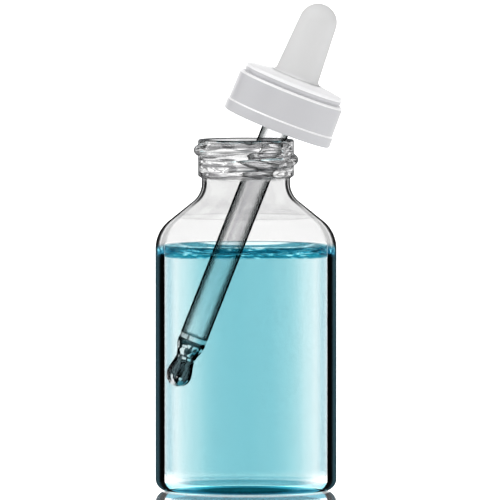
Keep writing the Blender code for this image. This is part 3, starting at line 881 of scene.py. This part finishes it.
def liquid(finishes, level):
    """Water-based serum: it colours light by the way through it, under a surface painted dark and
    broken.

    Its sides are drawn without bending the light, as the glass round it is.
    """
    made, node = blank_material("water_based_serum")
    place, parts, facing = whereabouts(node)
    height = parts["Z"]
    free = node("Attribute", out="Fac", attribute_name="free_surface")
    leaving = node("NewGeometry", out="Backfacing")

    # Its side, with painted shade: darker in the middle and in soft upright streaks, lighter where
    # the liquid is thinner, greyer at the rim
    columns = node(MAPPING, {"Vector": place, "Scale": STREAKS_PACKED})
    columns = node(NOISE, {"Vector": columns, "Scale": per_metre(SERUM_STREAK), "Detail": 1.0})
    columns = node(RANGE, (columns, 0.35, 0.65, -0.3, 0.3))
    thinner = node(RANGE, (facing, 0.04, 0.34), **SMOOTH)
    thinner = node(MATH, (thinner, columns), use_clamp=True, **PLUS)
    rim = node(RANGE, (facing, 0.45, 0.70), **SMOOTH)

    # Ripples with painted glints and painted shade in their troughs, and a painted dark line along
    # their foot at the glass
    ripples = node(MAPPING, {"Vector": place, "Scale": RIPPLES_PACKED})
    ripples = node(NOISE, {"Vector": ripples, "Scale": per_metre(RIPPLE), "Detail": 3.0})
    bump = node("Bump", {"Height": ripples, "Strength": 0.6, "Distance": 0.4 * MM})
    glint = node(RANGE, (ripples, 0.55, 0.60), **SMOOTH)
    trough = node(RANGE, (ripples, 0.49, 0.44), **SMOOTH)
    depth = node(RANGE, (facing, 0.0, 0.4, 0.0, 0.35 * MM))
    depth = node(MATH, (height, depth), **PLUS)
    foot = line_near(node, depth, level - 0.25 * MM, 0.10 * MM, 0.10 * MM)
    dark = node(MATH, (trough, foot), **LARGER)
    rippled = layered(
        node, finishes.surface, (glint, finishes.surface_light), (dark, finishes.surface_shade),
    )

    # Beside the surface the side is painted rippled where light enters it, and painted pale where
    # light leaves it
    collar = node(RANGE, (depth, level - 0.9 * MM, level - 0.4 * MM), **SMOOTH)
    pale = node(RANGE, (height, level, level + 0.3 * MM), **SMOOTH)
    pale = node(MATH, (pale, leaving), **LARGER)
    pale = node(RANGE, (facing, 0.60, 0.25, 0.0, pale), **SMOOTH)
    deep_side = node(RANGE, (facing, 0.15, 0.50, 0.0, 0.6), **SMOOTH)
    beside = layered(node, rippled, (deep_side, finishes.surface_shade), (pale, finishes.meniscus))
    edge = node(RANGE, (height, level + 1.2 * MM, level + 1.45 * MM), **SMOOTH)
    side = layered(
        node, finishes.serum_middle_shade, (thinner, finishes.serum_side_light), (rim, finishes.serum_rim_shade),
        (collar, beside), (edge, finishes.serum_rim_shade),
    )

    # The surface itself, painted dark at a low angle, with a painted dark line where it starts
    # to climb
    climb = node(RANGE, (height, level + 0.4 * MM, level + 1.3 * MM, 0.0, 0.85), **SMOOTH)
    rippled = layered(node, rippled, (climb, finishes.surface_light))
    grazing = node(RANGE, (facing, 0.40, 0.78), **SMOOTH)
    start = line_near(node, facing, 0.48, 0.06, 0.07, most=0.9)
    tint = layered(node, finishes.surface_light, (grazing, rippled), (start, finishes.surface_shade))
    through = node(CLEAR, {"Color": tint})
    mirror = node(GLOSS, {"Color": tint, "Roughness": 0.05, "Normal": bump})
    mirrored = node(RANGE, (facing, 0.3, 1.0, 0.03, 0.35), **SMOOTH)
    surface = node("MixShader", (mirrored, through, mirror))
    shell = node("MixShader", (free, node(CLEAR, {"Color": side}), surface))
    strength = {"Color": finishes.serum, "Density": SERUM_STRENGTH}
    volume = node("VolumeAbsorption", strength)
    node(OUTPUT, {"Surface": shell, "Volume": volume}, out=None)
    return made


def moulded_plastic(finishes):
    """Polypropylene from a lightly etched mould: satin, fine even grain, painted edge highlights.
    """
    made, node = blank_material("polypropylene_moulded_satin")
    place = node("TexCoord", out="Object")
    grain = node(NOISE, {"Vector": place, "Scale": per_metre(ETCHED_GRAIN), "Detail": 2.0})
    cloud = node(NOISE, {"Vector": place, "Scale": per_metre(CAP_CLOUD), "Detail": 2.0})
    gloss = node(RANGE, (cloud, 0.0, 1.0, 0.26, 0.36))
    bump = node("Bump", {"Height": grain, "Strength": 0.12, "Distance": 0.05 * MM})
    # The polished mark sets where the edges get a painted highlight
    polished = node("Attribute", out="Fac", attribute_name="polished")
    tint = layered(node, finishes.plastic, (polished, finishes.plastic_edge_highlight))
    look = {"Base Color": tint, "Roughness": gloss, "IOR": 1.49, "Normal": bump}
    node(OUTPUT, {"Surface": node("BsdfPrincipled", look)}, out=None)
    return made


def moulded_rubber(finishes):
    """Thermoplastic rubber: matte and softly powdered."""
    made, node = blank_material("thermoplastic_rubber_moulded")
    place = node("TexCoord", out="Object")
    grain = node(NOISE, {"Vector": place, "Scale": per_metre(POWDER_GRAIN), "Detail": 3.0})
    bump = node("Bump", {"Height": grain, "Strength": 0.15, "Distance": 0.05 * MM})
    look = {"Base Color": finishes.rubber, "Roughness": 0.6, "IOR": 1.5, "Normal": bump}
    node(OUTPUT, {"Surface": node("BsdfPrincipled", look)}, out=None)
    return made


def settle(obj, node, body, material=None):
    """Gives a finished piece its material and its body, and hides the CAD node it stands for."""
    if material is not None:
        obj.data.materials.clear()
        obj.data.materials.append(material)
    if body:
        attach(obj, body)
    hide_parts(node)


class MakeBottle(bpy.types.Operator):
    """Builds the glass bottle with its screw thread"""

    bl_idname = "serum_bottle.glass_bottle"
    bl_label = "Glass bottle"

    def execute(self, context):
        scene = context.scene
        size = scene.bottle_sizes
        outline, marks = bottle_outline(size)
        obj = turned("bottle_glass", outline, BODY_STEPS, marks)
        top = lip_height(size) - size.thread_below_lip
        rise = size.thread_pitch * size.thread_sweep / math.tau
        apply_tree(obj, thread_tree(), {
            "Pitch": size.thread_pitch,
            "Bead": size.thread_bead,
            "Half width": size.thread_half_width,
            "Start angle": size.thread_start,
            "Sweep": size.thread_sweep,
            "Start height": top - rise,
            "Fade": size.thread_fade,
            "Material": moulded_glass(scene.finishes, size, serum_level(scene)),
        })
        settle(obj, "glass_bottle", "bottle")
        return {"FINISHED"}


class MakeSerum(bpy.types.Operator):
    """Builds the serum with its meniscus"""

    bl_idname = "serum_bottle.serum"
    bl_label = "Serum"

    def execute(self, context):
        scene = context.scene
        outline, marks = serum_outline(scene.bottle_sizes, scene.serum_sizes)
        obj = turned("serum_liquid", outline, BODY_STEPS, marks)
        material = liquid(scene.finishes, serum_level(scene))
        settle(obj, "serum", "bottle", material)
        return {"FINISHED"}


class MakePipette(bpy.types.Operator):
    """Builds the drawn glass pipette"""

    bl_idname = "serum_bottle.glass_pipette"
    bl_label = "Glass pipette"

    def execute(self, context):
        scene = context.scene
        outline, marks = pipette_outline(scene.dropper_sizes)
        obj = turned("pipette_tube", outline, TUBE_STEPS, marks, dropper_place())
        material = drawn_glass(scene.finishes, serum_level(scene))
        settle(obj, "glass_pipette", "dropper", material)
        return {"FINISHED"}


class MakeCap(bpy.types.Operator):
    """Builds the screw cap with its inner thread"""

    bl_idname = "serum_bottle.screw_cap"
    bl_label = "Screw cap"

    def execute(self, context):
        size = context.scene.dropper_sizes
        bottle = context.scene.bottle_sizes
        outline, marks = cap_outline(size)
        obj = turned("cap_moulding", outline, CAP_STEPS, marks)
        apply_tree(obj, thread_tree(), {
            "Pitch": bottle.thread_pitch,
            "Bead": -size.cap_bead,
            "Half width": size.cap_bead_half_width,
            "Start angle": size.cap_thread_start,
            "Sweep": size.cap_thread_sweep,
            "Start height": size.cap_thread_foot,
            "Fade": bottle.thread_fade,
            "Material": moulded_plastic(context.scene.finishes),
        })
        obj.data.transform(dropper_place())
        obj.data.set_sharp_from_angle(angle=math.radians(CAP_SHARP))
        settle(obj, "screw_cap", "cap")
        return {"FINISHED"}


class MakeBulb(bpy.types.Operator):
    """Builds the rubber bulb"""

    bl_idname = "serum_bottle.rubber_bulb"
    bl_label = "Rubber bulb"

    def execute(self, context):
        size = context.scene.dropper_sizes
        place = dropper_place()
        obj = turned("bulb_rubber", bulb_outline(size), BULB_STEPS, place=place)
        obj.data.set_sharp_from_angle(angle=math.radians(BULB_SHARP))
        settle(obj, "rubber_bulb", "", moulded_rubber(context.scene.finishes))
        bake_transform(obj)
        return {"FINISHED"}


class MakeStage(bpy.types.Operator):
    """Builds the floor, the light and the camera"""

    bl_idname = "serum_bottle.stage"
    bl_label = "Stage"

    def execute(self, context):
        scene = context.scene
        make_floor(scene.stage_sizes, scene.finishes)
        make_light()
        make_camera(scene)
        scene.view_settings.view_transform = "Standard"
        scene.cycles.max_bounces = 24
        scene.cycles.transmission_bounces = 24
        scene.cycles.transparent_max_bounces = 16
        return {"FINISHED"}


def make_floor(size, finishes):
    """A wide glossy white board just under the bottle's base, which mirrors at a low angle.

    Its inner rings are small, so that a ray meets it exactly. It glows where glass stands before
    it, a painted light as bright as the horizon that it mirrors.
    """
    top = -0.03 * MM
    under = -10 * MM
    outline = [(radius, top) for radius in (0, 0.06, 0.6, 4.0, size.floor_radius)]
    outline += [(size.floor_radius, under), (0, under)]
    floor = turned("floor", outline, CAP_STEPS)
    floor.data.shade_flat()
    made, node = blank_material("acrylic_board_white")
    glass_before = node("LightPath", out="Transparent Depth")
    glow_behind_glass = node(RANGE, (glass_before, 0.0, 1.0, 0.4, 0.4 + BACKDROP - SURROUND))
    board = node("BsdfPrincipled", {
        "Base Color": finishes.floor, "Roughness": 0.3, "Emission Color": WHITE,
        "Emission Strength": glow_behind_glass,
    })
    facing = node("LayerWeight", {"Blend": 0.5}, out="Facing")
    low = node(RANGE, (facing, 0.80, 0.95, 0.04, 0.93), **SMOOTH)
    mirror = node(GLOSS, {"Color": WHITE, "Roughness": 0.03})
    node(OUTPUT, {"Surface": node("MixShader", (low, board, mirror))}, out=None)
    floor.data.materials.append(made)


def make_light():
    """White all round with four dark flags at the corners, a dimmer ceiling, and two soft boxes."""
    world = bpy.data.worlds.new("studio")
    world.use_nodes = True
    world.node_tree.nodes.clear()
    node = partial(add_node, world.node_tree)
    way = node("TexCoord", out="Generated")
    part = node("SeparateXYZ", (way,), out=None)
    corner = node(MATH, (part["X"], part["Y"]), **TIMES)
    corner = node(MATH, (corner,), **UNSIGNED)
    flat = node("CombineXYZ", (part["X"], part["Y"]))
    level = node("VectorMath", (flat, flat), out="Value", operation="DOT_PRODUCT")
    corner = node(MATH, (corner, level), **OVER)
    flag = node(RANGE, (corner, 0.45, 0.48, 1.0, 0.12))
    ceiling = node(RANGE, (part["Z"], 0.20, 0.60, 1.0, 0.25))
    away = node(MATH, (part["Z"],), **UNSIGNED)
    horizon = node(RANGE, (away, 0.12, 0.26, BACKDROP / SURROUND, 1.0), **SMOOTH)
    brightness = ceiling
    for share in (horizon, flag, SURROUND):
        brightness = node(MATH, (brightness, share), **TIMES)
    lit = node("Background", {"Color": WHITE, "Strength": brightness})
    seen = node("Background", {"Color": WHITE, "Strength": BACKDROP})
    camera_ray = node("LightPath", out="Is Camera Ray")
    sky = node("MixShader", (camera_ray, lit, seen))
    node("OutputWorld", {"Surface": sky}, out=None)
    bpy.context.scene.world = world
    for name, spot, watts in (
        ("key_box", (0.55, -0.55, 0.75), 1.6), ("top_box", (-0.25, -0.1, 0.9), 3.6)
    ):
        data = bpy.data.lights.new(name, "AREA")
        data.shape = "SQUARE"
        data.size = 0.5
        data.energy = watts
        lamp = bpy.data.objects.new(name, data)
        lamp.location = spot
        aim = Vector((0, 0, 0.08)) - Vector(spot)
        lamp.rotation_euler = aim.to_track_quat("-Z", "Y").to_euler()
        lamp.visible_transmission = False
        bpy.context.scene.collection.objects.link(lamp)


def make_camera(scene):
    """A long lens that looks along +Y from a little above the level of the liquid."""
    size = scene.stage_sizes
    data = bpy.data.cameras.new("camera")
    data.lens = size.lens
    data.clip_start = 0.1
    data.clip_end = 60.0
    camera = bpy.data.objects.new("camera", data)
    aim = Vector((size.look_x, 0, size.look_z))
    back = Vector((0, -math.cos(size.elevation), math.sin(size.elevation)))
    camera.location = aim + back * size.distance
    camera.rotation_euler = (-back).to_track_quat("-Z", "Y").to_euler()
    scene.collection.objects.link(camera)
    scene.camera = camera


class BottlePanel(bpy.types.Panel):
    """Lists the pieces in the order in which they are made"""

    bl_idname = "VIEW3D_PT_serum_bottle"
    bl_label = "Serum bottle"
    bl_space_type = "VIEW_3D"
    bl_region_type = "UI"
    bl_category = "Serum bottle"

    def draw(self, context):
        for maker in MAKERS:
            self.layout.operator(maker.bl_idname)


MAKERS = (MakeStage, MakeBottle, MakeSerum, MakePipette, MakeCap, MakeBulb)
GROUPS = {
    "bottle_sizes": BottleSizes,
    "serum_sizes": SerumSizes,
    "dropper_sizes": DropperSizes,
    "finishes": Finishes,
    "stage_sizes": StageSizes,
}


def register():
    for kind in (*GROUPS.values(), *MAKERS, BottlePanel):
        bpy.utils.register_class(kind)
    for name, kind in GROUPS.items():
        setattr(bpy.types.Scene, name, PointerProperty(type=kind))


def unregister():
    for name in GROUPS:
        delattr(bpy.types.Scene, name)
    for kind in reversed((*GROUPS.values(), *MAKERS, BottlePanel)):
        bpy.utils.unregister_class(kind)


def main():
    register()
    for maker in MAKERS:
        group, name = maker.bl_idname.split(".")
        getattr(getattr(bpy.ops, group), name)()


if __name__ == "__main__":
    main()
